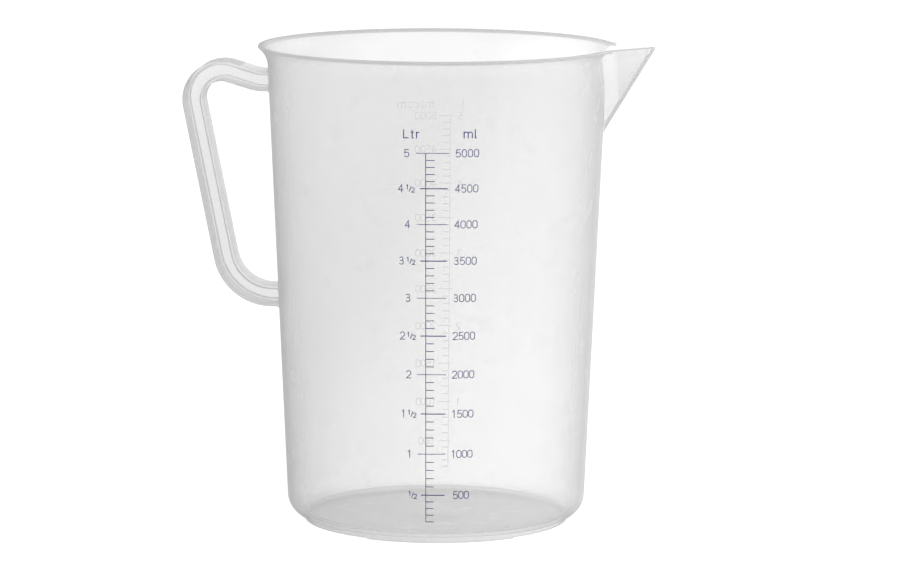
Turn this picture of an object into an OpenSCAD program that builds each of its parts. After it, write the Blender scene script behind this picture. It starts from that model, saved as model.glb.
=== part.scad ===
// Five-litre measuring jug: one translucent moulding with a printed scale in front and a raised one behind.
// Frame: the origin is on the ground, midway between the ends of the handle and the spout. +Z is up, +X
// points to the spout and -X to the handle. The printed scale faces -Y. The modules draw about the vessel's
// axis, and the last lines move them to the frame. Angles are azimuths about that axis, from +X.

/* [Vessel] */
// Height of the rim and of the spout's tip above the ground
rim_height = 269.1; // [245:0.1:330]
// Outer radius of the wall's cone where it would meet the ground
wall_low_radius = 83.2; // [78:0.1:92]
// Outer radius of the wall's cone at the height of the rim
wall_high_radius = 95.3; // [90:0.1:108]
// Thickness of the wall, the lip and the rounded corner
wall_thickness = 2; // [1:0.1:3]

/* [Lip] */
// Radius of the lip's outward curl, at the middle of its thickness
lip_curl_radius = 15; // [10:0.5:20]
// Angle through which the lip curls outwards
lip_curl_angle = 50; // [30:1:70]

/* [Base] */
// Outer radius of the rounded corner between the wall and the floor
corner_radius = 12.5; // [8:0.5:18]
// Height of the underside above the ground
underside_height = 2.6; // [1.2:0.1:5]
// Thickness of the flat floor
floor_thickness = 2.6; // [1.5:0.1:5]
// Distance from the wall's cone at the ground in to the outside of the foot ring
foot_inset = 9; // [5:0.1:18]
// Width of the foot ring
foot_width = 2.2; // [1:0.1:5]
// Gap under the two side lengths of the foot ring
foot_side_gap = 0.6; // [0.1:0.1:1]
// Angle of the foot ring taken up by each pad that touches the ground
pad_angle = 66.6; // [30:0.1:120]
// Azimuth of the middle of the front pad
pad_azimuth = -83; // [-120:1:-60]

/* [Spout] */
// Distance from the wall's cone at the rim out to the tip of the spout
spout_overhang = 27.4; // [16:0.1:34]
// Distance from the rim down to where the keel of the spout leaves the wall
spout_drop = 48.7; // [34:0.1:80]
// Half of the angle between the two cheeks, seen from above
spout_half_angle = 45; // [32:1:48]
// Radius of the keel inside the spout
keel_inner_radius = 0.5; // [0.2:0.1:3]

/* [Handle] */
// Distance from the wall's cone at the rim out to the outermost point of the handle
handle_overhang = 47; // [42:0.1:65]
// Depth of the I-shaped section, from its outer face to its inner face
handle_depth = 11.4; // [8:0.1:16]
// Thickness of the web between the flanges
web_thickness = 2; // [1:0.1:5]
// Width of the outer flange
outer_flange_width = 24; // [12:0.5:40]
// Thickness of the outer flange
outer_flange_thickness = 2.2; // [1:0.1:5]
// Width of the inner flange
inner_flange_width = 20; // [10:0.5:40]
// Thickness of the inner flange
inner_flange_thickness = 2; // [1:0.1:5]
// Distance from the rim down to the top arm's middle line at the wall
top_arm_drop = 20.9; // [18.5:0.1:26]
// Angle at which the top arm rises away from the wall
top_arm_rise = 17; // [14:0.5:22]
// Radius of the bend where the top arm starts to rise
top_arm_bend_radius = 25; // [12:0.5:35]
// Radius of the top bend, at the middle of the section
top_bend_radius = 16.1; // [12:0.1:18]
// Distance from the rim down to the centre of the top bend
top_bend_drop = 31.6; // [29:0.1:34]
// Angle by which the grip leans outwards
grip_lean = 11.4; // [6:0.1:15]
// Radius of the bottom bend, at the middle of the section
low_bend_radius = 27.3; // [14:0.1:34]
// Distance from the rim down to the low arm's middle line
low_arm_drop = 142.2; // [110:0.1:165]

/* [Scales] */
// Distance from the rim down to the five-litre mark
full_mark_drop = 50.4; // [42:0.1:120]
// Distance between the four lowest marks, below the half-litre mark
low_mark_pitch = 3.75; // [2:0.05:4]
// Height of the numerals
numeral_height = 4.45; // [3:0.05:6]
// Height of the capital in the headings
heading_height = 4.9; // [3:0.05:6]
// Distance from the five-litre mark up to the foot of the printed headings
print_heading_rise = 8.1; // [5:0.1:12]
// Distance from the five-litre mark up to the foot of the raised headings
relief_heading_rise = 4.5; // [3.5:0.1:12]

/* [Print] */
// Thickness of the printed ink
ink_thickness = 0.15; // [0.05:0.01:0.3]
// Width of the printed strokes and of the printed scale line
ink_stroke = 0.42; // [0.2:0.01:0.6]
// Height of the printed half-litre marks, and width of the strokes of the printed headings
ink_bold_stroke = 0.55; // [0.2:0.01:0.9]
// Azimuth of the printed scale line
print_azimuth = -89; // [-90:0.1:-88]
// Share by which the print narrows from the five-litre mark to the ground, beyond what the cone does
print_fan_share = 0.074; // [0:0.002:0.12]
// Azimuth of the middle of the millilitre numerals at the five-litre mark
print_millilitre_azimuth = -75; // [-76:0.1:-60]
// Azimuth of the middle of the whole-litre numerals
print_litre_azimuth = -95.4; // [-110:0.1:-92]
// Azimuth of the middle of the litre numeral before a half
print_before_half_azimuth = -97.6; // [-112:0.1:-94]
// Azimuth of the middle of the half signs
print_half_azimuth = -94.2; // [-105:0.1:-91]
// Azimuth of the middle of the printed litre heading
print_litre_heading_azimuth = -93.4; // [-105:0.1:-91]
// Azimuth of the middle of the printed millilitre heading
print_millilitre_heading_azimuth = -73.5; // [-76:0.1:-60]

/* [Relief] */
// Height of the raised scale above the wall
relief_thickness = 0.3; // [0.1:0.05:1]
// Width of the raised strokes
relief_stroke = 0.55; // [0.3:0.01:0.8]
// Azimuth of the raised scale line
relief_azimuth = 90; // [89:0.1:91]
// Azimuth of the middle of the raised millilitre numerals
relief_millilitre_azimuth = 98.8; // [94:0.1:115]
// Azimuth of the middle of the raised litre numerals
relief_litre_azimuth = 86.3; // [75:0.1:88]
// Azimuth of the middle of the second raised heading
relief_second_heading_azimuth = 104.4; // [98:0.1:120]

/* [Hidden] */
$fn = 120;

// Volumes in millilitres on the two scales
full_volume = 5000;
half_volume = 500;
minor_volume = 100;

// Wall cone
taper = (wall_high_radius - wall_low_radius) / rim_height;
taper_angle = atan(taper);
wall_normal = [cos(taper_angle), -sin(taper_angle)];

// Rounded corner: it is tangent to the wall's outer face and to the underside
corner_height = underside_height + corner_radius;
corner_centre = [outer_radius(corner_height) - corner_radius / cos(taper_angle), corner_height];
corner_inner_radius = corner_radius - wall_thickness;
wall_start_outer = corner_centre + corner_radius * wall_normal;
wall_start_inner = corner_centre + corner_inner_radius * wall_normal;
floor_height = underside_height + floor_thickness;
foot_radius = wall_low_radius - foot_inset;

// Lip: a curl tangent to the wall, ending in a round nose a little thicker than the curl
nose_radius = 0.53 * wall_thickness;
lip_outer_radius = lip_curl_radius - wall_thickness / 2;
lip_inner_radius = lip_curl_radius + wall_thickness / 2;
lip_height = rim_height - nose_radius - lip_curl_radius * sin(lip_curl_angle);
lip_centre = [outer_radius(lip_height) + lip_outer_radius / cos(taper_angle), lip_height];
nose_centre = lip_centre + lip_curl_radius * [-cos(lip_curl_angle), sin(lip_curl_angle)];
wall_end_outer = lip_centre - lip_outer_radius * wall_normal;
wall_end_inner = lip_centre - lip_inner_radius * wall_normal;

// Spout: a V extruded along its keel, from above the tip down into the vessel. Seen from above, its
// cheeks end half way along the chords that they would cut across the vessel.
spout_reach = wall_high_radius + spout_overhang;
spout_root_height = rim_height - spout_drop;
keel_lean = atan((spout_reach - outer_radius(spout_root_height)) / spout_drop);
cheek_angle = atan(tan(spout_half_angle) / cos(keel_lean));
keel_radius = keel_inner_radius + wall_thickness;
keel_steps = 8;
spout_depth = spout_reach * cos(spout_half_angle) * cos(spout_half_angle) * cos(keel_lean);
spout_overrun = 4 * wall_thickness;
spout_length = spout_drop / cos(keel_lean) + 2 * spout_overrun;

// Handle: places on its middle line, as radius from the axis and height
half_depth = handle_depth / 2;
handle_reach = wall_high_radius + handle_overhang;
top_arm_height = rim_height - top_arm_drop;
top_bend_height = rim_height - top_bend_drop;
low_arm_height = rim_height - low_arm_drop;
outer_flange_offset = half_depth - outer_flange_thickness;
inner_flange_offset = inner_flange_thickness - half_depth;
handle_root_radius = outer_radius(low_arm_height) - 2 * wall_thickness;
top_bend_centre = [handle_reach - half_depth - top_bend_radius, top_bend_height];
grip_normal = [cos(grip_lean), -sin(grip_lean)];
low_bend_height = low_arm_height + low_bend_radius;
low_bend_run = top_bend_centre * grip_normal + top_bend_radius - low_bend_radius;
low_bend_centre = [(low_bend_run + low_bend_height * sin(grip_lean)) / cos(grip_lean), low_bend_height];
rise_normal = [-sin(top_arm_rise), cos(top_arm_rise)];
rise_direction = [cos(top_arm_rise), sin(top_arm_rise)];
rise_end = top_bend_centre + top_bend_radius * rise_normal;
kink_radius = rise_end[0] - (rise_end[1] - top_arm_height) / tan(top_arm_rise);
kink_tangent = top_arm_bend_radius * tan(top_arm_rise / 2);
kink_centre = [kink_radius - kink_tangent, top_arm_height + top_arm_bend_radius];

// Marks: equal volumes of a cone stand between equal steps of the cube of its radius
full_mark_height = rim_height - full_mark_drop;
full_radius = inner_radius(full_mark_height);
empty_radius = inner_radius(floor_height);
half_steps = full_volume / half_volume;
low_marks = half_volume / minor_volume - 1;
low_mark_height = mark_height(half_volume) - low_marks * low_mark_pitch;
print_top = full_mark_height + ink_stroke / 2;
relief_top = full_mark_height + relief_stroke / 2;
print_heading_height = full_mark_height + print_heading_rise;
relief_heading_height = full_mark_height + relief_heading_rise;

// Reach of the printed marks to the left and right of their line at the five-litre mark, in degrees
print_litre_left_angle = 3.2;
print_half_left_angle = 1.9;
print_long_right_angle = 7.5;
print_full_right_angle = 7.95;
print_minor_right_angle = 3.05;
// Reach of the raised marks
relief_left_angle = 0.9;
relief_long_right_angle = 4.1;
relief_minor_right_angle = 2.4;

// Shapes of the characters, as shares of the height of a numeral.
// A bar is [x, y, x, y] from end to end and an arc is [x, y, radius, start, end] in degrees.
zero_bar_shares = [[0, 0.3, 0, 0.7], [0.6, 0.3, 0.6, 0.7]];
zero_arc_shares = [[0.3, 0.7, 0.3, 0, 180], [0.3, 0.3, 0.3, 180, 360]];
one_bar_shares = [[0.34, 0, 0.34, 1], [0.34, 1, 0.14, 0.8]];
one_arc_shares = [];
two_bar_shares = [[0.53, 0.52, 0, 0], [0, 0, 0.6, 0]];
two_arc_shares = [[0.3, 0.7, 0.3, -38, 170]];
three_bar_shares = [[0.18, 0.54, 0.28, 0.54]];
three_arc_shares = [[0.28, 0.77, 0.23, -90, 160], [0.28, 0.27, 0.27, -160, 90]];
four_bar_shares = [[0.45, 1, 0, 0.29], [0, 0.29, 0.62, 0.29], [0.45, 0, 0.45, 1]];
four_arc_shares = [];
five_bar_shares = [[0.1, 1, 0.55, 1], [0.1, 1, 0.05, 0.48]];
five_arc_shares = [[0.29, 0.31, 0.31, -150, 145]];
capital_l_bar_shares = [[0, 0, 0, 1], [0, 0, 0.57, 0]];
capital_l_arc_shares = [];
t_bar_shares = [[0.12, 0, 0.12, 0.94], [0, 0.72, 0.27, 0.72], [0.12, 0, 0.24, 0]];
t_arc_shares = [];
r_bar_shares = [[0, 0, 0, 0.74]];
r_arc_shares = [[0.26, 0.46, 0.26, 75, 180]];
m_bar_shares = [[0, 0, 0, 0.76], [0.52, 0, 0.52, 0.48], [1.04, 0, 1.04, 0.48]];
m_arc_shares = [[0.26, 0.48, 0.26, 0, 180], [0.78, 0.48, 0.26, 0, 180]];
l_bar_shares = [[0, 0, 0, 1], [0, 0, 0.14, 0]];
l_arc_shares = [];
c_bar_shares = [];
c_arc_shares = [[0.36, 0.38, 0.36, 45, 315]];
slash_bar_shares = [[0, 0, 0.34, 1]];
slash_arc_shares = [];

// Places of the characters in a word, as shares of the height of a numeral. The pitch is the one at the
// five-litre mark, and it follows the cone's radius.
digit_pitch_share = 0.835;
digit_width_share = 0.6;
litre_heading_shares = [0, 0.96, 1.63];
millilitre_heading_shares = [0, 1.42];
second_heading_shares = [0, 0.92, 1.84];
one_letter_share = [0];
// The half sign: sizes of its figures and its slash, and where its one, slash and two stand
half_figure_share = 0.6;
half_slash_share = 0.68;
half_place_shares = [[-0.08, 0.4], [0.37, 0.12], [0.68, 0]];

// Numerals before the half signs and beside the whole litres
litres = [5, 4, 3, 2, 1];

function outer_radius(z) = wall_low_radius + taper * z;
function inner_radius(z) = outer_radius(z) - wall_thickness / cos(taper_angle);
function fan_at(z, fan_share) = 1 - fan_share * (1 - z / full_mark_height);
function on_print(azimuth, z) = print_azimuth + (azimuth - print_azimuth) * fan_at(z, print_fan_share);
function cube(x) = x * x * x;
function mark_cube(v) = cube(empty_radius) + v / full_volume * (cube(full_radius) - cube(empty_radius));
function mark_height(v) =
    (pow(mark_cube(v), 1 / 3) - wall_low_radius + wall_thickness / cos(taper_angle)) / taper;
function mark_digits(v) =
    v >= 2 * half_volume ? [floor(v / 1000), floor(v / 100) % 10, 0, 0] : [floor(v / 100), 0, 0];

// Parts of a flat ring, turned from the first angle to the second
module arc_band(inner, outer, first, last) {
    // The wedge reaches past the ring, in steps of less than a right angle
    steps = ceil((last - first) / 60);
    reach = 2 * outer;
    rays = [for (i = [0 : steps]) reach * [cos(first + i * (last - first) / steps),
                                           sin(first + i * (last - first) / steps)]];
    intersection() {
        difference() {
            circle(r = outer);
            circle(r = inner);
        }
        polygon(concat([[0, 0]], rays));
    }
}

module corner_profile() {
    translate(corner_centre)
        arc_band(corner_inner_radius, corner_radius, -90, -taper_angle);
}

module wall_profile() {
    polygon([wall_start_inner, wall_start_outer, wall_end_outer, wall_end_inner]);
}

module lip_profile() {
    translate(lip_centre)
        arc_band(lip_outer_radius, lip_inner_radius, 180 - lip_curl_angle, 180 - taper_angle);
    translate(nose_centre)
        circle(r = nose_radius);
}

// Everything inside the outer face of the wall and lip, from the ground up
module filled_profile() {
    polygon([[0, 0], [outer_radius(0), 0], wall_end_outer, [0, wall_end_outer[1]]]);
    difference() {
        polygon([
            [0, wall_end_outer[1]],
            [nose_centre[0], wall_end_outer[1]],
            [nose_centre[0], rim_height],
            [0, rim_height],
        ]);
        translate(lip_centre)
            circle(r = lip_outer_radius);
    }
    lip_profile();
}

module filled_cone() {
    cylinder(h = rim_height, r1 = outer_radius(0), r2 = outer_radius(rim_height));
}

// A V with its keel towards -Y, rounded in short steps about the middle of the keel
module keel_section(radius) {
    turn = 180 - 2 * cheek_angle;
    angles = [for (i = [0 : keel_steps]) turn * (i / keel_steps - 0.5)];
    round = [for (a = angles) [0, keel_radius] + radius * [sin(a), -cos(a)]];
    last = round[keel_steps];
    spread = last[0] + (spout_depth - last[1]) * tan(cheek_angle);
    polygon(concat(round, [[spread, spout_depth], [-spread, spout_depth]]));
}

// Stands a flat V at the spout's tip, so that it runs down along the keel
module along_keel() {
    translate([spout_reach, 0, rim_height])
        rotate([0, keel_lean, 0])
            rotate([0, 0, 90])
                translate([0, 0, spout_overrun - spout_length])
                    linear_extrude(height = spout_length)
                        children();
}

module spout_channel() {
    along_keel()
        keel_section(keel_inner_radius);
}

// Everything on the finger side of the handle's curve at a distance from its middle line
module handle_outline(offset) {
    difference() {
        union() {
            polygon([
                [handle_root_radius, low_arm_height - offset],
                [low_bend_centre[0], low_arm_height - offset],
                low_bend_centre + (low_bend_radius + offset) * grip_normal,
                top_bend_centre + (top_bend_radius + offset) * grip_normal,
                top_bend_centre + (top_bend_radius + offset) * rise_normal,
                kink_centre - (top_arm_bend_radius - offset) * rise_normal,
                [kink_centre[0], top_arm_height + offset],
                [handle_root_radius, top_arm_height + offset],
            ]);
            translate(top_bend_centre)
                circle(r = top_bend_radius + offset);
            translate(low_bend_centre)
                circle(r = low_bend_radius + offset);
        }
        translate(kink_centre)
            circle(r = top_arm_bend_radius - offset);
    }
}

module handle_part(near, far, width) {
    difference() {
        rotate([90, 0, 180])
            linear_extrude(height = width, center = true)
                difference() {
                    handle_outline(far);
                    handle_outline(near);
                }
        filled_cone();
    }
}

module foot_length(first, angle, gap) {
    rotate_extrude(angle = angle, start = first)
        difference() {
            polygon([
                [foot_radius - foot_width, gap],
                [foot_radius, gap],
                [foot_radius, corner_height],
                [foot_radius - foot_width, corner_height],
            ]);
            translate(corner_centre)
                circle(r = corner_radius);
            translate([0, underside_height])
                square([corner_centre[0], corner_radius]);
        }
}

// A thin strip that lies on the outer face of the wall
module wall_strip(first, angle, low, high, thickness) {
    rotate_extrude(angle = angle, start = first)
        polygon([
            [outer_radius(low), low],
            [outer_radius(low) + thickness, low],
            [outer_radius(high) + thickness, high],
            [outer_radius(high), high],
        ]);
}

module bar(share, size, stroke) {
    from = [share[0], share[1]] * size;
    along = [share[2], share[3]] * size - from;
    translate(from)
        rotate(atan2(along[1], along[0]))
            translate([-stroke / 2, -stroke / 2])
                square([norm(along) + stroke, stroke]);
}

module arc(share, size, stroke) {
    translate([share[0], share[1]] * size)
        arc_band(share[2] * size - stroke / 2, share[2] * size + stroke / 2, share[3], share[4]);
}

module shape(bars, arcs, size, stroke) {
    for (b = bars) bar(b, size, stroke);
    for (a = arcs) arc(a, size, stroke);
}

module character(name, size, stroke) {
    if (name == 0) shape(zero_bar_shares, zero_arc_shares, size, stroke);
    if (name == 1) shape(one_bar_shares, one_arc_shares, size, stroke);
    if (name == 2) shape(two_bar_shares, two_arc_shares, size, stroke);
    if (name == 3) shape(three_bar_shares, three_arc_shares, size, stroke);
    if (name == 4) shape(four_bar_shares, four_arc_shares, size, stroke);
    if (name == 5) shape(five_bar_shares, five_arc_shares, size, stroke);
    if (name == "L") shape(capital_l_bar_shares, capital_l_arc_shares, size, stroke);
    if (name == "t") shape(t_bar_shares, t_arc_shares, size, stroke);
    if (name == "r") shape(r_bar_shares, r_arc_shares, size, stroke);
    if (name == "m") shape(m_bar_shares, m_arc_shares, size, stroke);
    if (name == "l") shape(l_bar_shares, l_arc_shares, size, stroke);
    if (name == "c") shape(c_bar_shares, c_arc_shares, size, stroke);
    if (name == "/") shape(slash_bar_shares, slash_arc_shares, size, stroke);
}

// Presses a flat drawing through the wall's face at an azimuth and keeps a thin skin of it
module on_wall(azimuth, low, high, thickness) {
    middle = outer_radius(high);
    spread = 10;
    intersection() {
        wall_strip(azimuth - spread, 2 * spread, low, high, thickness);
        rotate([0, 0, azimuth])
            rotate([90, 0, 90])
                translate([0, 0, middle / 2])
                    linear_extrude(height = middle)
                        children();
    }
}

module numeral(azimuth, height, digits, thickness, stroke) {
    size = numeral_height - stroke;
    pitch = digit_pitch_share * size * outer_radius(height) / outer_radius(full_mark_height);
    width = (len(digits) - 1) * pitch + digit_width_share * size;
    on_wall(azimuth, height - numeral_height, height + numeral_height, thickness)
        for (i = [0 : len(digits) - 1])
            translate([i * pitch - width / 2, height - size / 2])
                character(digits[i], size, stroke);
}

module half_sign(azimuth, height, thickness, stroke) {
    size = numeral_height - stroke;
    width = (half_place_shares[2][0] + digit_width_share * half_figure_share) * size;
    names = [1, "/", 2];
    on_wall(azimuth, height - numeral_height, height + numeral_height, thickness)
        for (i = [0 : 2])
            translate([half_place_shares[i][0] * size - width / 2,
                       half_place_shares[i][1] * size + height - size / 2])
                character(names[i], (names[i] == "/" ? half_slash_share : half_figure_share) * size, stroke);
}

module heading(azimuth, base, letters, places, thickness, stroke) {
    size = heading_height - stroke;
    width = (places[len(places) - 1] + digit_width_share) * size;
    on_wall(azimuth, base - heading_height, base + 2 * heading_height, thickness)
        for (i = [0 : len(letters) - 1])
            translate([places[i] * size - width / 2, base + stroke / 2])
                character(letters[i], size, stroke);
}

// The two lengths of a mark to the left and right of a scale's line
module mark(line_azimuth, line_half_angle, height, left, right, stroke, thickness) {
    low = height - stroke / 2;
    high = height + stroke / 2;
    wall_strip(line_azimuth + line_half_angle, right - line_half_angle, low, high, thickness);
    if (left > line_half_angle)
        wall_strip(line_azimuth - left, left - line_half_angle, low, high, thickness);
}

// Half the width of a scale's line as an angle, the same at every height
function half_angle(stroke) = atan(stroke / 2 / outer_radius(full_mark_height));

module vessel_wall() {
    color([0.93, 0.94, 0.95])
        difference() {
            rotate_extrude()
                wall_profile();
            spout_channel();
        }
}

module rim_lip() {
    color([0.95, 0.95, 0.96])
        difference() {
            rotate_extrude()
                lip_profile();
            spout_channel();
        }
}

module base_corner() {
    color([0.9, 0.91, 0.93])
        rotate_extrude()
            corner_profile();
}

module base_floor() {
    color([0.84, 0.85, 0.88])
        translate([0, 0, underside_height])
            cylinder(h = floor_thickness, r = corner_centre[0]);
}

module foot_front_pad() {
    color([0.86, 0.87, 0.9])
        foot_length(pad_azimuth - pad_angle / 2, pad_angle, 0);
}

module foot_rear_pad() {
    color([0.86, 0.87, 0.9])
        foot_length(pad_azimuth + 180 - pad_angle / 2, pad_angle, 0);
}

module foot_spout_side() {
    color([0.82, 0.83, 0.86])
        foot_length(pad_azimuth + pad_angle / 2, 180 - pad_angle, foot_side_gap);
}

module foot_handle_side() {
    color([0.82, 0.83, 0.86])
        foot_length(pad_azimuth + 180 + pad_angle / 2, 180 - pad_angle, foot_side_gap);
}

module pouring_spout() {
    color([0.92, 0.93, 0.95])
        difference() {
            along_keel()
                difference() {
                    keel_section(keel_radius);
                    keel_section(keel_inner_radius);
                }
            rotate_extrude()
                filled_profile();
            translate([0, -spout_reach, rim_height])
                cube([2 * spout_reach, 2 * spout_reach, spout_depth + spout_overrun]);
        }
}

module handle_web() {
    color([0.94, 0.95, 0.96])
        handle_part(inner_flange_offset, outer_flange_offset, web_thickness);
}

module handle_outer_flange() {
    color([0.88, 0.89, 0.91])
        handle_part(outer_flange_offset, half_depth, outer_flange_width);
}

module handle_inner_flange() {
    color([0.88, 0.89, 0.91])
        handle_part(-half_depth, inner_flange_offset, inner_flange_width);
}

module print_scale_line() {
    color([0.2, 0.2, 0.45])
        wall_strip(print_azimuth - half_angle(ink_stroke), 2 * half_angle(ink_stroke),
                   low_mark_height - ink_stroke / 2, print_top, ink_thickness);
}

module print_litre_marks() {
    color([0.2, 0.2, 0.45])
        for (v = [2 * half_volume : 2 * half_volume : full_volume]) {
            fan = fan_at(mark_height(v), print_fan_share);
            right = v == full_volume ? print_full_right_angle : print_long_right_angle;
            mark(print_azimuth, half_angle(ink_stroke), mark_height(v), print_litre_left_angle * fan,
                 right * fan, ink_stroke, ink_thickness);
        }
}

module print_half_litre_marks() {
    color([0.2, 0.2, 0.45])
        for (v = [half_volume : 2 * half_volume : full_volume]) {
            fan = fan_at(mark_height(v), print_fan_share);
            mark(print_azimuth, half_angle(ink_stroke), mark_height(v), print_half_left_angle * fan,
                 print_long_right_angle * fan, ink_bold_stroke, ink_thickness);
        }
}

// Marks every hundred millilitres above the half litre, then four evenly spaced ones below it
module minor_marks(line_azimuth, reach, fan_share, stroke, thickness) {
    even = [
        for (step = [1 : half_steps - 1])
            for (i = [1 : low_marks]) mark_height(step * half_volume + i * minor_volume)
    ];
    low = [for (i = [0 : low_marks - 1]) low_mark_height + i * low_mark_pitch];
    for (height = concat(even, low))
        mark(line_azimuth, half_angle(stroke), height, 0, reach * fan_at(height, fan_share),
             stroke, thickness);
}

module print_minor_marks() {
    color([0.2, 0.2, 0.45])
        minor_marks(print_azimuth, print_minor_right_angle, print_fan_share, ink_stroke, ink_thickness);
}

module print_litre_numerals() {
    color([0.2, 0.2, 0.45]) {
        for (n = litres) {
            height = mark_height(2 * n * half_volume);
            numeral(on_print(print_litre_azimuth, height), height, [n], ink_thickness, ink_stroke);
        }
        for (n = litres) {
            height = mark_height((2 * n - 1) * half_volume);
            half_sign(on_print(print_half_azimuth, height), height, ink_thickness, ink_stroke);
            if (n > 1)
                numeral(on_print(print_before_half_azimuth, height), height, [n - 1],
                        ink_thickness, ink_stroke);
        }
    }
}

module print_millilitre_numerals() {
    color([0.2, 0.2, 0.45])
        for (v = [half_volume : half_volume : full_volume]) {
            height = mark_height(v);
            numeral(on_print(print_millilitre_azimuth, height), height, mark_digits(v),
                    ink_thickness, ink_stroke);
        }
}

module print_headings() {
    color([0.2, 0.2, 0.45]) {
        heading(print_litre_heading_azimuth, print_heading_height, ["L", "t", "r"],
                litre_heading_shares, ink_thickness, ink_bold_stroke);
        heading(print_millilitre_heading_azimuth, print_heading_height, ["m", "l"],
                millilitre_heading_shares, ink_thickness, ink_bold_stroke);
    }
}

module relief_scale_line() {
    color([0.78, 0.78, 0.76])
        wall_strip(relief_azimuth - half_angle(relief_stroke), 2 * half_angle(relief_stroke),
                   low_mark_height - relief_stroke / 2, relief_top, relief_thickness);
}

module relief_long_marks() {
    color([0.78, 0.78, 0.76])
        for (v = [half_volume : half_volume : full_volume])
            mark(relief_azimuth, half_angle(relief_stroke), mark_height(v), relief_left_angle,
                 relief_long_right_angle, relief_stroke, relief_thickness);
}

module relief_minor_marks() {
    color([0.78, 0.78, 0.76])
        minor_marks(relief_azimuth, relief_minor_right_angle, 0, relief_stroke, relief_thickness);
}

module relief_millilitre_numerals() {
    color([0.78, 0.78, 0.76])
        for (v = [half_volume : half_volume : full_volume])
            numeral(relief_millilitre_azimuth, mark_height(v), mark_digits(v),
                    relief_thickness, relief_stroke);
}

module relief_litre_numerals() {
    color([0.78, 0.78, 0.76])
        for (n = litres)
            numeral(relief_litre_azimuth, mark_height(2 * n * half_volume), [n],
                    relief_thickness, relief_stroke);
}

module relief_headings() {
    color([0.78, 0.78, 0.76]) {
        heading(relief_litre_azimuth, relief_heading_height, ["l"], one_letter_share,
                relief_thickness, relief_stroke);
        heading(relief_millilitre_azimuth, relief_heading_height, ["m", "l"],
                millilitre_heading_shares, relief_thickness, relief_stroke);
        heading(relief_second_heading_azimuth, relief_heading_height, ["c", "c", "m"],
                second_heading_shares, relief_thickness, relief_stroke);
    }
}

// The vessel's axis stands off the origin by half of what the handle reaches further than the spout
translate([(handle_reach - spout_reach) / 2, 0, 0]) {
    vessel_wall();
    rim_lip();
    base_corner();
    base_floor();
    foot_front_pad();
    foot_rear_pad();
    foot_spout_side();
    foot_handle_side();
    pouring_spout();
    handle_web();
    handle_outer_flange();
    handle_inner_flange();
    print_scale_line();
    print_litre_marks();
    print_half_litre_marks();
    print_minor_marks();
    print_litre_numerals();
    print_millilitre_numerals();
    print_headings();
    relief_scale_line();
    relief_long_marks();
    relief_minor_marks();
    relief_millilitre_numerals();
    relief_litre_numerals();
    relief_headings();
}
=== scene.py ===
"""Looks of the five-litre measuring jug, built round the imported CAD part.

The jug's lengths and the camera's place are millimetres about the vessel's axis, as in the CAD source, and
place() turns them into metres in the shared frame. The floor, the lamps and the noise are in metres.
"""

import math

import bmesh
import bpy
import numpy as np
from mathutils import Matrix, Vector

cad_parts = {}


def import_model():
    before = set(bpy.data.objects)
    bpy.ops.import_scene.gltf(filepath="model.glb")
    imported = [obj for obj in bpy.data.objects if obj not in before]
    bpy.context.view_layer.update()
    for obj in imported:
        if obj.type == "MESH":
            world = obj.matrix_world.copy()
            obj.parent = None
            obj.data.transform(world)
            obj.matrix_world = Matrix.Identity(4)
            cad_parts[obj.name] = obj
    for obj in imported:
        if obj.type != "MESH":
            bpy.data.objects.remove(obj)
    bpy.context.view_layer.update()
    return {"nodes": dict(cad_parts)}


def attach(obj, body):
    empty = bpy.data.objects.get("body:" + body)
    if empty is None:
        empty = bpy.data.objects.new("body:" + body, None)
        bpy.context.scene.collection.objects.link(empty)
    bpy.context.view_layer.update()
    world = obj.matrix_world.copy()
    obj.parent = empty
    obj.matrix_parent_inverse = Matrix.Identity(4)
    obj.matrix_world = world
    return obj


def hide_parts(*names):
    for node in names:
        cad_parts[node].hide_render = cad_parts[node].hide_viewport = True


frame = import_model()

# Vessel: a cone, given by its outer radius at the ground's height and at the rim's
RIM = 269.1
LOW_RADIUS, HIGH_RADIUS = 83.2, 95.3
WALL = 2.0
TAPER = (HIGH_RADIUS - LOW_RADIUS) / RIM
LEAN = math.atan(TAPER)
# Lip: the wall curls outwards on an arc and ends in a round nose
CURL, CURL_END, NOSE = 15.0, math.radians(50), 1.06
CURL_Z = RIM - NOSE - CURL * math.sin(CURL_END)
CURL_R = LOW_RADIUS + TAPER * CURL_Z + (CURL - WALL / 2) / math.cos(LEAN)
# Base: a rounded corner, and a gate mark in the middle of the underside
CORNER, UNDERSIDE, FLOOR = 12.5, 2.6, 5.2
CORNER_Z = UNDERSIDE + CORNER
CORNER_R = LOW_RADIUS + TAPER * CORNER_Z - CORNER / math.cos(LEAN)
GATE_DEPTH, RECESS = 1.1, 0.25
BASE_JOIN = (18, 22, 27, 33)
# Foot: a ring that touches the ground on two pads, whose azimuths are in degrees
FOOT_OUT, FOOT_IN, FOOT_GAP, FOOT_ROOT = 74.2, 72.0, 0.6, 0.3
PADS = (-83.0, 97.0)
PAD_HALF, PAD_RAMP = 33.3, 0.6
# Spout: a V with a rounded keel, which meets the wall in a small fillet
REACH, DROP = 122.7, 48.7
SPOUT_HALF_ANGLE = math.radians(45)
KEEL_LEAN = math.atan((REACH - LOW_RADIUS - TAPER * (RIM - DROP)) / DROP)
CHEEK = math.atan(math.tan(SPOUT_HALF_ANGLE) / math.cos(KEEL_LEAN))
KEEL, SPOUT_FILLET = 2.5, 0.7
SPOUT_LIMIT = 200
# Handle: its middle line
HANDLE_REACH = 142.3
AXIS_X = (HANDLE_REACH - REACH) / 2
ARM_Z, LOW_ARM_Z = 248.2, 126.9
TOP_BEND, LOW_BEND, KINK = 16.1, 27.3, 25.0
TOP_BEND_DROP = 31.6
RISE, GRIP = math.radians(17), math.radians(11.4)
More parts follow.
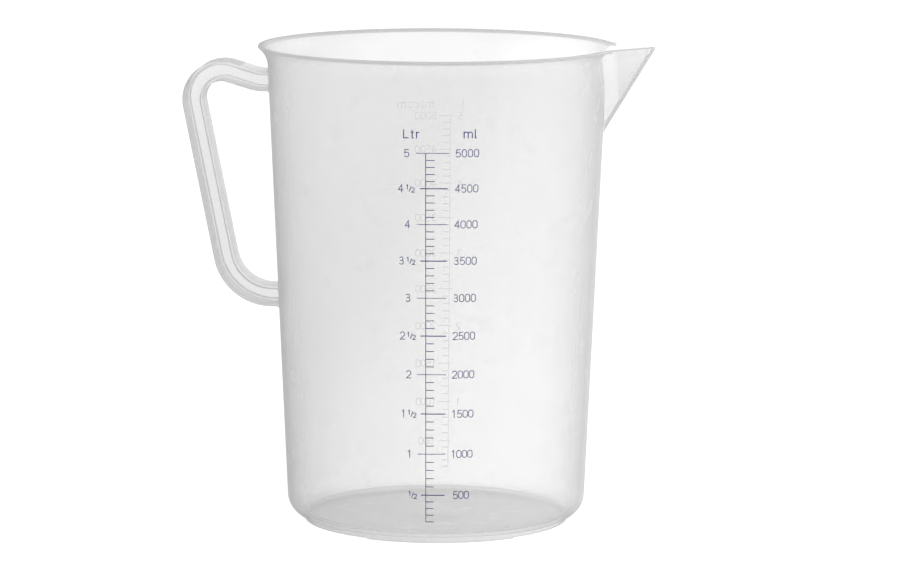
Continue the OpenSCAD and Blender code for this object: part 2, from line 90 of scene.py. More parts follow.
# Handle: its section, whose flanges are thinner at the edge than at the web
HALF_DEPTH = 5.7
PALM_HALF, PALM_EDGE, PALM_ROOT, PALM_ROUND = 12.0, 2.0, 2.4, 0.95
FINGER_HALF, FINGER_EDGE, FINGER_ROOT, FINGER_ROUND = 10.0, 1.85, 2.2, 0.85
WEB_HALF, WEB_ROUND = 1.0, 2.1
# Handle: its two ends have rows at these distances from the wall, flare out and follow the wall's cone
NEAR_WALL = (0.0, 0.12, 0.3, 0.55, 0.85, 1.25, 1.7, 2.2, 3.2, 5.0)
FLARE, FLARE_MOST, FOLLOW, OFF_WALL, SUNK = 1.35, 1.0, 5.0, 9, 1.0
ROW_GAP = 0.2

# Plastic: the share of its milk that is lit from behind, on outer and on inner faces
THROUGH_OUT, THROUGH_IN = 0.05, 0.95
# Plastic: its milk's grey, how much a face covers when seen head on and edge on, and its absorption
MILK, CLEAR, EDGE, ABSORPTION = 0.7, 0.17, 0.95, 8.5
RAISED_MILK, RAISED_CLEAR, RAISED_EDGE = 0.72, 0.14, 0.6
# Plastic: the power by which the cover grows towards edge on, and how much it varies in soft patches
GLANCE, CLOUD_LOW, CLOUD_HIGH = 3.0, 0.965, 1.035
# Plastic: its mirror's share head on, what edge on adds to it and by what power, and its roughness
MIRROR, MIRROR_EDGE, MIRROR_GLANCE = 0.03, 0.1, 5.0
GLOSS_LOW, GLOSS_HIGH = 0.16, 0.3
# Plastic: painted shade darkens its milk on dense places, which also cover more, and a little on every face
# towards edge on
DENSE_SHADE_TONE, DENSE_COVER = 0.8, 0.55
EDGE_SHADE, EDGE_START, EDGE_FULL = 0.35, 0.7, 0.82
KEEL_BEAD, PAD_BEAD, FOOT_BEAD, FAR_BEAD, CHEEK_BEAD = 1.0, 0.25, 0.8, 0.45, 0.45
# Where the dense places with painted shade are: their fades below the rim, the keel's half width, and the
# pads' ends
RIM_START, RIM_FADE = 2.4, 0.5
SPOUT_START, SPOUT_EDGE_START, SPOUT_EDGE_FADE = 101.5, 1.2, 0.4
KEEL_HALF, KEEL_OFF_WALL = 3.3, 0.5
PAD_END_INNER, PAD_END_OUTER, PAD_END_TOP = -1.0, 3.4, 11
FOOT_EDGE, HANDLE_OFF_WALL = 0.2, 0.4
# Cells of noise in a metre
GRAIN, CLOUD, GLOSS_PATCH, INK_PATCH, INK_SPECK = 1400, 28, 60, 160, 2200
# World: its grey, its level and the direction in which it gets brighter
SKY_GREY, SKY_LEVEL, SKY_LEAN = 0.8, 0.93, (0.72, 0.64, 0.85)
# Floor: what it gives as light, what it shows in plain view, and its matt part, which takes the shadow
FLOOR_LIGHT, FLOOR_SEEN, FLOOR_MATT = 0.45, 0.97, 0.15
FLOOR_HALF, FLOOR_Z = 30, -0.0002
# Floor through the plastic: painted light, rising from the handle's side to the spout's side behind the jug,
# and further off
ACROSS, ACROSS_START, ACROSS_STOP = (1, 0.016, 0), -0.11, 0.13
PAINTED_LEFT, PAINTED_RIGHT = 0.82, 1.43
PAINTED_FAR, FAR_START, FAR_STOP, FAR_LEFT, FAR_RIGHT = 0.14, 2.42, 2.6, -0.34, -0.24
BEHIND_HALF, BEHIND_SIDE, BEHIND_FRONT, BEHIND_START = 0.35, 0.6, -0.2, -0.05
# Floor through the plastic: painted shadow, a little under the jug and most in the ring round its foot
SHADOW_UNDER, SHADOW_RING = 0.89, 0.75
RING_START, RING_FULL, RING_STOP, RING_END = 0.07, 0.073, 0.077, 0.083
# Lamps
LAMP_AIM = (0, 0, 0.13)
KEY, KEY_AT, KEY_SIZE = 0.15, (0.6, -0.3, 0.35), 0.45
BACK, BACK_AT, BACK_SIZE = 0.66, (0.25, 0.4, 0.4), 0.5
# Camera: its turns are about Z, X and its own axis, in degrees
LENS, SENSOR = 191.37, 36
CAMERA_AT = (221.38, -2656.85, 523.59)
CAMERA_TURN, CAMERA_TILT, CAMERA_ROLL = 4.6, 81.686, 0.195


def place(points):
    """Millimetres about the vessel's axis to metres in the shared frame."""
    placed = np.array(points, float).reshape(-1, 3)
    placed[:, 0] += AXIS_X
    return placed / 1000


def outer_radius(z):
    return LOW_RADIUS + TAPER * z


def make_object(name, points, faces):
    mesh = bpy.data.meshes.new(name)
    mesh.from_pydata([tuple(point) for point in place(points)], [], faces)
    mesh.update()
    made = bpy.data.objects.new(name, mesh)
    bpy.context.scene.collection.objects.link(made)
    return made


def bands(row_count, count):
    """Faces between the neighbouring rows of a grid whose rows are closed rings of count points."""
    faces = []
    for i in range(row_count - 1):
        for j in range(count):
            k = (j + 1) % count
            faces.append((i * count + j, i * count + k, (i + 1) * count + k, (i + 1) * count + j))
    return faces


def shade(made, angle=35):
    """Smooth shading that stays sharp where two faces meet at more than the angle."""
    mesh = made.data
    bm = bmesh.new()
    bm.from_mesh(mesh)
    for face in bm.faces:
        face.smooth = True
    for edge in bm.edges:
        if len(edge.link_faces) == 2:
            edge.smooth = edge.calc_face_angle(0) < math.radians(angle)
    bm.to_mesh(mesh)
    bm.free()


# Vessel and spout: one grid, whose columns are azimuths and whose rows follow the wall


def from_pad(degrees):
    """How far an azimuth is past the end of the nearest pad: negative on the pad."""
    return np.min([np.abs((degrees - pad + 180) % 360 - 180) for pad in PADS], axis=0) - PAD_HALF


def azimuths():
    """The grid's columns: close together at the keel, the cheeks, the handle and the pads' ends."""
    steps = [(0, 1.2, 0.12), (1.2, 4, 0.2), (4, 26, 0.35), (26, 168, 1.4), (168, 180, 0.5)]
    half = [0.0]
    for low, high, step in steps:
        count = round((high - low) / step)
        half += [low + (high - low) * (i + 1) / count for i in range(count)]
    columns = half[:-1] + [-a for a in half[1:]]
    for pad in PADS:
        for end in (pad - PAD_HALF, pad + PAD_HALF):
            columns += [(end + d + 180) % 360 - 180 for d in (-0.45, -0.15, 0.15, 0.45)]
    return np.radians(np.unique(np.round(columns, 4)))


def round_middle(z):
    """Radius of the middle of the round wall at a height: a cone, then the curl of the lip."""
    cone = outer_radius(z) - WALL / 2 / math.cos(LEAN)
    rise = np.clip(z - CURL_Z, 0, CURL)
    curl = CURL_R - np.sqrt(CURL * CURL - rise * rise)
    return np.where(z > CURL_Z + CURL * math.sin(LEAN), curl, cone)


def spout_middle(angle, z):
    """Distance from the axis to the middle of the spout's wall, a V rounded along its keel. It is nothing
    on the sides that are turned away from the spout."""
    turn = math.pi / 2 - CHEEK
    radius = KEEL - WALL / 2
    inset = REACH * math.cos(KEEL_LEAN) + (z - RIM) * math.sin(KEEL_LEAN) - KEEL
    side, ahead = np.abs(np.sin(angle)), np.cos(angle) * math.cos(KEEL_LEAN)
    flat = (radius + inset * math.cos(turn)) / np.maximum(
        side * math.sin(turn) + ahead * math.cos(turn), 1e-3)
    a, b, c = side * side + ahead * ahead, inset * ahead, inset * inset - radius * radius
    keel = (b + np.sqrt(np.maximum(b * b - a * c, 0))) / a
    at_keel = np.arctan2(keel * side, keel * ahead - inset) < turn
    reach = np.where(at_keel, keel, flat)
    return np.where(np.cos(angle) > 0.5, np.minimum(reach, SPOUT_LIMIT), 0)


def blend(a, b, width):
    """The larger of two numbers, rounded where they're within a width of each other."""
    overlap = np.maximum(width - np.abs(a - b), 0) / width
    return np.maximum(a, b) + overlap * overlap * width / 4


def wall_heights():
    """The grid's rows: close together at the handle's low arm, along the spout and in the lip."""
    low = [40, 60, 80, 100, 112, 117] + list(np.arange(119, 136, 1.5)) + [140, 150, 165, 180, 195, 208]
    high = list(np.arange(214, 256.5, 1.15))
    curl = np.linspace(LEAN, CURL_END, 22)
    return np.array(low + high + list(CURL_Z + CURL * np.sin(curl)))


def arc(centre, radius, first, last, count):
    """Points on an arc in radius and height, angles in degrees."""
    return [(centre[0] + radius * math.cos(math.radians(a)), centre[1] + radius * math.sin(math.radians(a)))
            for a in np.linspace(first, last, count)]


def base_outside():
    """The outside in radius and height, from the gate mark in the middle of the underside out over the foot
    and up to the wall. foot_lift() raises the foot between its pads."""
    gate = [(1.2, UNDERSIDE - GATE_DEPTH), (1.7, UNDERSIDE - 1.0), (2.0, UNDERSIDE - 0.5),
            (2.4, UNDERSIDE)]
    flat = [(6, UNDERSIDE), (11.5, UNDERSIDE), (12, UNDERSIDE + RECESS), (30, UNDERSIDE + RECESS),
            (55, UNDERSIDE + RECESS), (70.8, UNDERSIDE + RECESS), (71.2, UNDERSIDE + 0.05)]
    foot = [(FOOT_IN - 0.35, UNDERSIDE), (FOOT_IN - 0.08, UNDERSIDE - 0.25), (FOOT_IN, UNDERSIDE - 0.7),
            (FOOT_IN, 0.5), (FOOT_IN + 0.12, 0.15), (FOOT_IN + 0.45, 0), ((FOOT_IN + FOOT_OUT) / 2, 0),
            (FOOT_OUT - 0.45, 0), (FOOT_OUT - 0.12, 0.15), (FOOT_OUT, 0.5), (FOOT_OUT, UNDERSIDE - 0.5),
            (FOOT_OUT + 0.12, UNDERSIDE + 0.05), (FOOT_OUT + 0.5, UNDERSIDE + 0.38)]
    start = math.degrees(math.asin((FOOT_OUT + 1.1 - CORNER_R) / CORNER)) - 90
    corner = arc((CORNER_R, CORNER_Z), CORNER, start, -math.degrees(LEAN), 22)
    wall = [(outer_radius(z), z) for z in BASE_JOIN]
    return gate + flat + foot + corner + wall


def base_inside():
    """The inside in radius and height, from the wall down and in to the middle of the floor."""
    inner = CORNER - WALL
    wall = [(outer_radius(z) - WALL / math.cos(LEAN), z) for z in reversed(BASE_JOIN)]
    corner = arc((CORNER_R, CORNER_Z), inner, -math.degrees(LEAN), -84, 22)
    step = [(CORNER_R + 0.55, CORNER_Z - inner + 0.03), (CORNER_R + 0.25, CORNER_Z - inner + 0.12),
            (CORNER_R + 0.05, CORNER_Z - inner + 0.38), (CORNER_R - 0.25, FLOOR - 0.05),
            (CORNER_R - 0.7, FLOOR)]
    flat = [(radius, FLOOR) for radius in (60, 40, 20, 6, 1.2)]
    return wall + corner + step + flat


def foot_lift(angle):
    """How far the foot's underside is off the ground at an azimuth: nothing on the two pads."""
    return FOOT_GAP * np.clip(0.5 + from_pad(np.degrees(angle)) / PAD_RAMP, 0, 1)


def revolve(profile, angles, lift=None):
    """Rows of the grid from a profile, with the foot's rows raised by the lift."""
    rows = []
    for r, z in profile:
        height = np.full_like(angles, z)
        if lift is not None and FOOT_IN - 0.01 <= r <= FOOT_OUT + 0.01:
            height += lift * max(0.0, 1 - z / (UNDERSIDE - FOOT_ROOT))
        rows.append(np.stack([r * np.cos(angles), r * np.sin(angles), height], 1))
    return rows


def wall_grid(angles):
    """The middle of the wall and the spout as rows of points, and the outward normal at each point."""
    angle, z = np.meshgrid(angles, wall_heights())
    middle = blend(round_middle(z), spout_middle(angle, z), SPOUT_FILLET)
    grid = np.stack([middle * np.cos(angle), middle * np.sin(angle), z], 2)
    across = np.roll(grid, -1, 1) - np.roll(grid, 1, 1)
    normal = np.cross(across, np.gradient(grid, axis=0))
    return grid, normal / np.linalg.norm(normal, axis=2, keepdims=True)


def nose_rows(grid, normal):
    """The lip's round nose, from the outside over the top to the inside."""
    edge, out = grid[-1], normal[-1]
    along = grid[-1] - grid[-2]
    along -= (along * out).sum(1, keepdims=True) * out
    along /= np.linalg.norm(along, axis=1, keepdims=True)
    return [edge + NOSE * (math.cos(t) * out + math.sin(t) * along) for t in np.linspace(0, math.pi, 11)]


def vessel():
    """The whole body without its handle, as one closed skin."""
    angles = azimuths()
    grid, normal = wall_grid(angles)
    rows = revolve(base_outside(), angles, foot_lift(angles))
    rows += list(grid[:-1] + WALL / 2 * normal[:-1])
    rows += nose_rows(grid, normal)
    rows += list((grid[:-1] - WALL / 2 * normal[:-1])[::-1])
    rows += revolve(base_inside(), angles)
    count = len(angles)
    points = np.concatenate(rows + [np.array([[0, 0, UNDERSIDE - GATE_DEPTH], [0, 0, FLOOR]])])
    faces = bands(len(rows), count)
    low, high = len(rows) * count, len(rows) * count + 1
    last = (len(rows) - 1) * count
    for j in range(count):
        k = (j + 1) % count
        faces.append((low, k, j))
        faces.append((high, last + j, last + k))
    return make_object("jug_body", points, faces)


# Handle: an I-shaped section swept along its middle line, flared where it meets the wall


def handle_path():
    """Points (distance from the axis, height) on the middle line, from where the top arm leaves the wall to
    where the low arm meets it, with the direction in which the line runs."""
    top = np.array([HANDLE_REACH - HALF_DEPTH - TOP_BEND, RIM - TOP_BEND_DROP])
    grip_normal = np.array([math.cos(GRIP), -math.sin(GRIP)])
    low_z = LOW_ARM_Z + LOW_BEND
    run = top @ grip_normal + TOP_BEND - LOW_BEND
    low = np.array([(run + low_z * math.sin(GRIP)) / math.cos(GRIP), low_z])
    rise_normal = np.array([-math.sin(RISE), math.cos(RISE)])
    rise_end = top + TOP_BEND * rise_normal
    kink_at = rise_end[0] - (rise_end[1] - ARM_Z) / math.tan(RISE)
    kink = np.array([kink_at - KINK * math.tan(RISE / 2), ARM_Z + KINK])
    path = []
    for gap in NEAR_WALL:
        r = outer_radius(ARM_Z) + gap
        if r < kink[0] - ROW_GAP:
            path.append(((r, ARM_Z), 0.0))
    for t in np.linspace(0, RISE, 7):
        path.append((tuple(kink + KINK * np.array([math.sin(t), -math.cos(t)])), t))
    start, end = np.array(path[-1][0]), rise_end
    for s in np.linspace(0, 1, 8)[1:-1]:
        path.append((tuple(start + s * (end - start)), RISE))
    for t in np.linspace(RISE, -math.pi / 2 - GRIP, 40):
        path.append((tuple(top + TOP_BEND * np.array([-math.sin(t), math.cos(t)])), t))
    down = -math.pi / 2 - GRIP
    start, end = top + TOP_BEND * grip_normal, low + LOW_BEND * grip_normal
    for s in np.linspace(0, 1, 22)[1:-1]:
        path.append((tuple(start + s * (end - start)), down))
    for t in np.linspace(down, -math.pi, 36):
        path.append((tuple(low + LOW_BEND * np.array([-math.sin(t), math.cos(t)])), t))
    for gap in reversed(NEAR_WALL):
        r = outer_radius(LOW_ARM_Z) + gap
        if r < low[0] - ROW_GAP:
            path.append(((r, LOW_ARM_Z), -math.pi))
    return path


def rounded(corners, steps=5):
    """A closed outline with each corner (x, y, radius) rounded, and the outward normal at each point."""
    points, normals = [], []
    count = len(corners)
    for i in range(count):
        corner = np.array(corners[i][:2])
        before = np.array(corners[i - 1][:2]) - corner
        after = np.array(corners[(i + 1) % count][:2]) - corner
        before /= np.linalg.norm(before)
        after /= np.linalg.norm(after)
        half = math.acos(np.clip(before @ after, -1, 1)) / 2
        radius = corners[i][2]
        bisector = (before + after) / np.linalg.norm(before + after)
        centre = corner + bisector * radius / math.sin(half)
        first = corner + before * radius / math.tan(half) - centre
        last = corner + after * radius / math.tan(half) - centre
        convex = before[0] * after[1] - before[1] * after[0] > 0
        sweep = math.pi - 2 * half
        for k in range(steps + 1):
            t = k / steps * sweep
            spoke = (math.sin(sweep - t) * first + math.sin(t) * last) / math.sin(sweep)
            points.append(centre + spoke)
            normals.append((spoke if convex else -spoke) / radius)
    return np.array(points), np.array(normals)


def section():
    """The I-shaped section, clockwise: across the handle, and from the fingers' side to the palm's side."""
    right = [(PALM_HALF, HALF_DEPTH, PALM_ROUND), (PALM_HALF, HALF_DEPTH - PALM_EDGE, PALM_ROUND),
             (WEB_HALF, HALF_DEPTH - PALM_ROOT, WEB_ROUND), (WEB_HALF, FINGER_ROOT - HALF_DEPTH, WEB_ROUND),
             (FINGER_HALF, FINGER_EDGE - HALF_DEPTH, FINGER_ROUND), (FINGER_HALF, -HALF_DEPTH, FINGER_ROUND)]
    left = [(-x, y, r) for x, y, r in reversed(right)]
    return rounded(right + left)


def section_row(outline, outward, r, z, t):
    """The section at one point of the middle line. Near the wall it flares out and follows the cone."""
    gap = r - outer_radius(z)
    on_arm = abs(math.sin(t)) < 1e-6
    near = min(abs(gap), OFF_WALL) if on_arm else OFF_WALL
    grow = FLARE - math.sqrt(FLARE * FLARE - (FLARE - near) ** 2) if near < FLARE else 0
    grown = outline + min(grow, FLARE_MOST) * outward
    side, depth = grown[:, 0], grown[:, 1]
    x, height = r - depth * math.sin(t), z + depth * math.cos(t)
    if near < OFF_WALL:
        on_wall = np.sqrt((outer_radius(height) + gap) ** 2 - side ** 2)
        x = x + max(0.0, 1 - near / FOLLOW) * (on_wall - x)
    return np.stack([-x, side, height], 1)


def sunk(row):
    """A row at the wall, pushed half way into it, so that the handle and the body overlap."""
    inside = row.copy()
    inside[:, 0] = -np.sqrt((outer_radius(row[:, 2]) - SUNK) ** 2 - row[:, 1] ** 2)
    return inside


def handle():
    """The handle as a closed mesh, whose ends are sunk into the wall."""
    outline, outward = section()
    rows = [section_row(outline, outward, r, z, t) for (r, z), t in handle_path()]
    rows = [sunk(rows[0])] + rows + [sunk(rows[-1])]
    count = len(outline)
    faces = bands(len(rows), count)
    faces.append(tuple(range(count))[::-1])
    faces.append(tuple((len(rows) - 1) * count + j for j in range(count)))
    made = make_object("handle", np.concatenate(rows), faces)
    bm = bmesh.new()
    bm.from_mesh(made.data)
    bmesh.ops.recalc_face_normals(bm, faces=bm.faces)
    bm.to_mesh(made.data)
    bm.free()
    return made


def join(body, other):
    """Joins another closed mesh to the body as one skin."""
    union = body.modifiers.new("union", "BOOLEAN")
    union.operation, union.solver, union.object = "UNION", "EXACT", other
    joined = bpy.data.meshes.new_from_object(body.evaluated_get(bpy.context.evaluated_depsgraph_get()))
    body.modifiers.clear()
    body.data = joined
    bpy.data.objects.remove(other)


# Materials


class NodeTree:
    """The node tree of a material or world, built with a few short calls."""

    def __init__(self, owner):
        owner.use_nodes = True
        self.nodes, self.links = owner.node_tree.nodes, owner.node_tree.links
        self.nodes.clear()

    def feed(self, sockets, values):
        """Gives each socket its value, which is a number, a vector, a colour or another node's output."""
        for socket, value in zip(sockets, values):
            if isinstance(value, bpy.types.NodeSocket):
                self.links.new(value, socket)
            else:
                socket.default_value = value

    def add(self, kind, **values):
        """A new node. A value goes to the input of its name, or else to the setting of its name."""
        node = self.nodes.new(kind)
        for key, value in values.items():
            if key in node.inputs:
                self.feed([node.inputs[key]], [value])
            else:
                setattr(node, key, value)
        return node

    def math(self, operation, a, b=0.0, clamp=False):
        node = self.add("ShaderNodeMath", operation=operation, use_clamp=clamp)
        self.feed(node.inputs, (a, b))
        return node.outputs[0]

    def vector(self, operation, a, b):
        """A number worked out from two vectors."""
        node = self.add("ShaderNodeVectorMath", operation=operation)
        self.feed(node.inputs, (a, b))
        return node.outputs["Value"]

    def between(self, share, low, high):
        """Low where the share is 0 and high where it is 1."""
        return self.math("ADD", low, self.math("MULTIPLY", share, self.math("SUBTRACT", high, low)))

    def spread(self, value, low, high, start=0.3, stop=0.7):
        """Low up to the start of a value's range, high from its stop on, and even in between."""
        limits = {"From Min": start, "From Max": stop, "To Min": low, "To Max": high}
        return self.add("ShaderNodeMapRange", Value=value, **limits).outputs[0]

    def mix(self, share, first, second):
        node = self.add("ShaderNodeMixShader")
        self.feed(node.inputs, (share, first, second))
        return node.outputs[0]

    def colour(self, share, first, second):
        """A mix of two colours. The node has an A and a B of each type, so they are found by type."""
        node = self.add("ShaderNodeMix", data_type="RGBA", Factor=share)
        for socket in node.inputs:
            if socket.type == "RGBA":
                socket.default_value = first if socket.name == "A" else second
        return node.outputs[2]

    def noise(self, scale, detail=3.0):
        where = self.add("ShaderNodeTexCoord").outputs["Object"]
        return self.add("ShaderNodeTexNoise", Vector=where, Scale=scale, Detail=detail).outputs["Fac"]

    def clear_film(self):
        return self.add("ShaderNodeBsdfTransparent").outputs[0]

    def in_sight(self, path):
        """1 for the rays that show the background itself: camera, mirrored and transmitted ones."""
        seen = self.math("MAXIMUM", path.outputs["Is Camera Ray"], path.outputs["Is Glossy Ray"])
        return self.math("MAXIMUM", seen, path.outputs["Is Transmission Ray"])


def bead_at(x, y, z, within):
    """How dense the plastic looks at a point of the skin, and how much painted shade its milk gets there:
    most on the rim's nose, the keel and the foot's ring, less on the spout's cheeks and at the ends of the
    foot's pads."""
    radius = math.hypot(x, y)
    past_pad = from_pad(math.degrees(math.atan2(y, x)))
    if z < UNDERSIDE and radius > FOOT_OUT - FOOT_EDGE:
        return FOOT_BEAD
    at_pad_end = PAD_END_INNER < past_pad < PAD_END_OUTER and UNDERSIDE < z < PAD_END_TOP
    if at_pad_end and not within and radius > FOOT_OUT:
        return PAD_BEAD
    if x > outer_radius(z) + KEEL_OFF_WALL and not within and abs(y) < KEEL_HALF:
        return KEEL_BEAD
    if x > 0 and radius > SPOUT_START:
        edge = max((z - RIM + SPOUT_EDGE_START) / SPOUT_EDGE_FADE, CHEEK_BEAD)
        return min(edge, 1.0 if y < 0 else FAR_BEAD)
    return min(max((z - RIM + RIM_START) / RIM_FADE, 0.0), 1.0)


def mark_faces(made):
    """Writes two attributes on the faces: inside is 1 where they look into the vessel, and the other says
    how dense the plastic looks, which also sets how much painted shade its milk gets."""
    mesh = made.data
    inside, bead_shade = [], []
    for face in mesh.polygons:
        x, y, z = face.center * 1000
        x -= AXIS_X
        radius = math.hypot(x, y) + 1e-9
        out_and_down = (face.normal.x * x + face.normal.y * y) / radius - face.normal.z
        on_handle = x < 0 and radius > outer_radius(z) + HANDLE_OFF_WALL and z < CURL_Z
        within = not on_handle and out_and_down <= 0
        inside.append(1.0 if within else 0.0)
        bead_shade.append(bead_at(x, y, z, within))
    for name, values in (("inside", inside), ("bead_shade", bead_shade)):
        mesh.attributes.new(name, "FLOAT", "FACE").data.foreach_set("value", values)


def plastic(name, milk_grey, clear, edge, density):
    """Milky plastic: each face lets through most of what is behind it, and less of it at a glancing angle.
    Inside and outside, its milk is lit most by the light that falls on the vessel from outside. Its milk has
    painted shade on dense places and towards edge on."""
    material = bpy.data.materials.new(name)
    tree = NodeTree(material)
    grain, cloud = tree.noise(GRAIN, 2), tree.noise(CLOUD, 3)
    relief = tree.math("ADD", grain, tree.math("MULTIPLY", cloud, 2.0))
    bump = tree.add("ShaderNodeBump", Strength=0.1, Distance=0.0004, Height=relief)
    normal = bump.outputs["Normal"]
    inside = tree.add("ShaderNodeAttribute", attribute_name="inside").outputs["Fac"]
    bead_shade = tree.add("ShaderNodeAttribute", attribute_name="bead_shade").outputs["Fac"]
    facing = tree.add("ShaderNodeLayerWeight", Blend=0.5).outputs["Facing"]
    # Painted shade: the milk's tone darkens on dense places and towards edge on
    darker = tree.math("MAXIMUM", bead_shade, tree.spread(facing, 0.0, EDGE_SHADE, EDGE_START, EDGE_FULL))
    dense_shade_grey = DENSE_SHADE_TONE * milk_grey
    tone = tree.colour(darker, (milk_grey, milk_grey, milk_grey, 1), (dense_shade_grey, dense_shade_grey, dense_shade_grey, 1))
    milk = tree.mix(tree.spread(inside, THROUGH_OUT, THROUGH_IN, 0.0, 1.0),
                    tree.add("ShaderNodeBsdfDiffuse", Color=tone, Normal=normal).outputs[0],
                    tree.add("ShaderNodeBsdfTranslucent", Color=tone, Normal=normal).outputs[0])
    glance = tree.math("POWER", facing, GLANCE)
    cover = tree.math("ADD", tree.math("MULTIPLY", glance, edge - clear), clear)
    cover = tree.math("MULTIPLY", cover, tree.spread(cloud, CLOUD_LOW, CLOUD_HIGH), clamp=True)
    cover = tree.math("MAXIMUM", cover, tree.math("MULTIPLY", bead_shade, DENSE_COVER))
    body = tree.mix(cover, tree.clear_film(), milk)
    gloss = tree.spread(tree.noise(GLOSS_PATCH, 5), GLOSS_LOW, GLOSS_HIGH)
    shine = tree.add("ShaderNodeBsdfGlossy", Color=(1, 1, 1, 1), Roughness=gloss, Normal=normal).outputs[0]
    mirror = tree.math("POWER", facing, MIRROR_GLANCE)
    mirror = tree.math("ADD", tree.math("MULTIPLY", mirror, MIRROR_EDGE), MIRROR)
    out = tree.add("ShaderNodeOutputMaterial", Surface=tree.mix(mirror, body, shine))
    if density:
        absorption = tree.add("ShaderNodeVolumeAbsorption", Color=(0, 0, 0, 1), Density=density)
        tree.feed([out.inputs["Volume"]], [absorption.outputs[0]])
    return material


def ink(name, colour, worn, thin, full):
    """Screen-printed ink: a matt film whose colour and cover vary a little from place to place."""
    material = bpy.data.materials.new(name)
    tree = NodeTree(material)
    patch, speck = tree.noise(INK_PATCH, 6), tree.noise(INK_SPECK, 3)
    hue = tree.colour(tree.spread(patch, 0.0, 1.0), colour, worn)
    bump = tree.add("ShaderNodeBump", Strength=0.2, Distance=0.0001, Height=speck)
    film = tree.add("ShaderNodeBsdfPrincipled", Normal=bump.outputs["Normal"],
                    Roughness=tree.spread(patch, 0.42, 0.6))
    tree.feed([film.inputs["Base Color"]], [hue])
    speckled = tree.math("ADD", patch, tree.math("MULTIPLY", speck, 0.5))
    cover = tree.spread(speckled, thin, full, 0.6, 0.9)
    tree.add("ShaderNodeOutputMaterial", Surface=tree.mix(cover, tree.clear_film(), film.outputs[0]))
    return material


def paint(made, material):
    made.data.materials.clear()
    made.data.materials.append(material)


# The stage: a pale floor, soft light and the camera


def painted_floor_light(tree, where):
    """The floor's painted light and shadow, where it is seen through the plastic. Behind the jug a painted
    light rises from the handle's side to the spout's side. Painted shadow makes it a little darker under the
    jug and darkest in the ring round the foot."""
    across = tree.vector("DOT_PRODUCT", where, ACROSS)
    away = tree.vector("DISTANCE", where, (AXIS_X / 1000, 0, 0))
    split = tree.add("ShaderNodeSeparateXYZ", Vector=where).outputs
    # Painted light: brighter from the handle's side to the spout's side behind the jug, and further off
    painted_slope = tree.spread(across, PAINTED_LEFT, PAINTED_RIGHT, ACROSS_START, ACROSS_STOP)
    far = tree.spread(split["Y"], 0.0, 1.0, FAR_START, FAR_STOP)
    lift = tree.math("MULTIPLY", far, tree.spread(across, 0.0, PAINTED_FAR, FAR_LEFT, FAR_RIGHT))
    behind = tree.spread(tree.math("ABSOLUTE", split["X"]), 1.0, 0.0, BEHIND_HALF, BEHIND_SIDE)
    behind = tree.math("MULTIPLY", behind, tree.spread(split["Y"], 0.0, 1.0, BEHIND_FRONT, BEHIND_START))
    level = tree.between(behind, 1.0, tree.math("ADD", painted_slope, lift))
    # Painted shadow: a little darker under the jug and darkest in the ring round its foot
    under = tree.spread(away, SHADOW_UNDER, SHADOW_RING, RING_START, RING_FULL)
    past_shadow_ring = tree.spread(away, 1.0, 1 / SHADOW_RING, RING_STOP, RING_END)
    return tree.math("MULTIPLY", tree.math("MULTIPLY", level, under), past_shadow_ring)


def stage():
    """A pale floor: white in plain view, with painted light and shadow where it is seen through the plastic.
    """
    material = bpy.data.materials.new("floor")
    tree = NodeTree(material)
    path = tree.add("ShaderNodeLightPath")
    where = tree.add("ShaderNodeTexCoord").outputs["Object"]
    in_plain_view = tree.math("LESS_THAN", path.outputs["Transparent Depth"], 0.5)
    white = tree.between(in_plain_view, painted_floor_light(tree, where), FLOOR_SEEN)
    strength = tree.between(tree.in_sight(path), FLOOR_LIGHT, white)
    both = tree.add("ShaderNodeAddShader")
    glow = tree.add("ShaderNodeEmission", Color=(1, 1, 1, 1), Strength=strength)
    matt = tree.add("ShaderNodeBsdfDiffuse", Color=(FLOOR_MATT, FLOOR_MATT, FLOOR_MATT, 1))
    tree.feed(both.inputs, (glow.outputs[0], matt.outputs[0]))
    from_below = tree.add("ShaderNodeNewGeometry").outputs["Backfacing"]
    tree.add("ShaderNodeOutputMaterial", Surface=tree.mix(from_below, both.outputs[0], tree.clear_film()))
    mesh = bpy.data.meshes.new("floor")
    corners = [(-1, -1), (1, -1), (1, 1), (-1, 1)]
    mesh.from_pydata([(x * FLOOR_HALF, y * FLOOR_HALF, FLOOR_Z) for x, y in corners], [], [(0, 1, 2, 3)])
    floor = bpy.data.objects.new("floor", mesh)
    bpy.context.scene.collection.objects.link(floor)
    mesh.materials.append(material)


def world():
    """White in plain view. As light on the jug it is brightest from above, the spout's side and behind."""
    made = bpy.data.worlds.new("studio")
    bpy.context.scene.world = made
    tree = NodeTree(made)
    direction = tree.add("ShaderNodeTexCoord").outputs["Generated"]
    level = tree.math("ADD", tree.vector("DOT_PRODUCT", direction, SKY_LEAN), SKY_LEVEL)
    lit = tree.add("ShaderNodeBackground", Color=(SKY_GREY, SKY_GREY, SKY_GREY, 1),
                   Strength=tree.math("MAXIMUM", level, 0.0))
    white = tree.add("ShaderNodeBackground", Color=(1, 1, 1, 1))
    seen = tree.in_sight(tree.add("ShaderNodeLightPath"))
    tree.add("ShaderNodeOutputWorld", Surface=tree.mix(seen, lit.outputs[0], white.outputs[0]))


def lamp(name, where, size, power):
    """A round soft lamp that looks at the jug's middle and doesn't show itself."""
    light = bpy.data.lights.new(name, "AREA")
    light.shape, light.size, light.energy = "DISK", size, power
    made = bpy.data.objects.new(name, light)
    made.visible_camera = False
    made.location = where
    made.rotation_euler = (Vector(LAMP_AIM) - Vector(where)).to_track_quat("-Z", "Y").to_euler()
    bpy.context.scene.collection.objects.link(made)


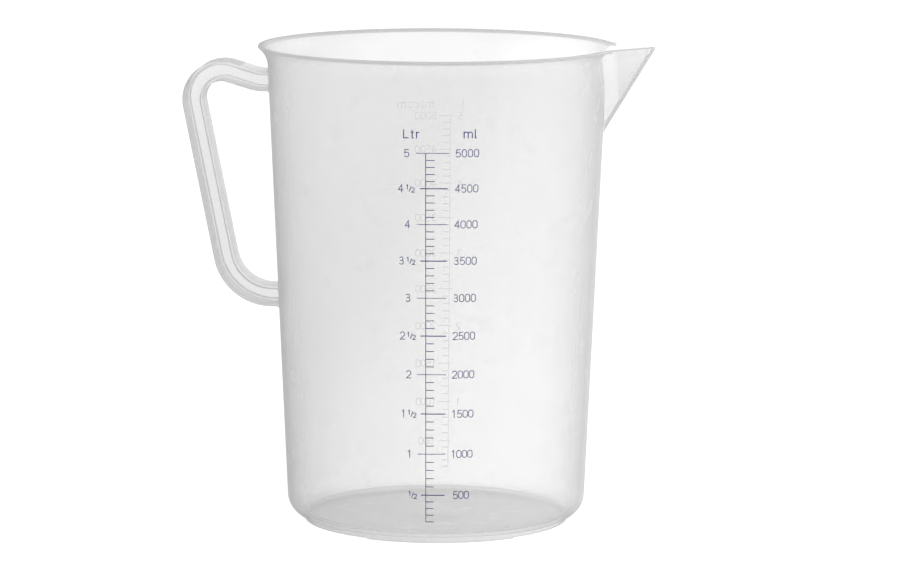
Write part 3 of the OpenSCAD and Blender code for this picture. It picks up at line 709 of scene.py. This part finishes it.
def camera():
    """The camera at the photograph's viewing angle, found from the rim, the foot and the printed marks."""
    data = bpy.data.cameras.new("camera")
    data.lens, data.sensor_width = LENS, SENSOR
    data.clip_start, data.clip_end = 0.1, 100
    made = bpy.data.objects.new("camera", data)
    turn = (Matrix.Rotation(math.radians(CAMERA_TURN), 4, "Z")
            @ Matrix.Rotation(math.radians(CAMERA_TILT), 4, "X")
            @ Matrix.Rotation(math.radians(CAMERA_ROLL), 4, "Z"))
    made.matrix_world = Matrix.Translation(place([CAMERA_AT])[0]) @ turn
    bpy.context.scene.collection.objects.link(made)
    bpy.context.scene.camera = made


bpy.context.scene.view_settings.view_transform = "Standard"
bpy.context.scene.cycles.transparent_max_bounces = 32
camera()
world()
stage()
lamp("key", KEY_AT, KEY_SIZE, KEY)
lamp("back", BACK_AT, BACK_SIZE, BACK)

body = vessel()
join(body, handle())
shade(body)
mark_faces(body)
paint(body, plastic("milky_plastic", MILK, CLEAR, EDGE, ABSORPTION))
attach(body, "root")
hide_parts("vessel_wall", "rim_lip", "base_corner", "base_floor", "foot_front_pad", "foot_rear_pad",
            "foot_spout_side", "foot_handle_side", "pouring_spout", "handle_web", "handle_outer_flange",
            "handle_inner_flange")

bold_ink = ink("bold_ink", (0.04, 0.035, 0.2, 1), worn=(0.07, 0.065, 0.25, 1), thin=0.82, full=1.0)
letter_ink = ink("letter_ink", (0.045, 0.045, 0.2, 1), worn=(0.08, 0.08, 0.26, 1), thin=0.72, full=0.95)
faint_ink = ink("faint_ink", (0.055, 0.055, 0.22, 1), worn=(0.1, 0.1, 0.28, 1), thin=0.45, full=0.7)
inks = {"print_half_litre_marks": bold_ink, "print_headings": bold_ink, "print_minor_marks": bold_ink,
        "print_litre_marks": faint_ink}
raised = plastic("raised_plastic", RAISED_MILK, RAISED_CLEAR, RAISED_EDGE, 0)
for node, made in frame["nodes"].items():
    if node.startswith("print_"):
        paint(made, inks.get(node, letter_ink))
    if node.startswith("relief_"):
        paint(made, raised)
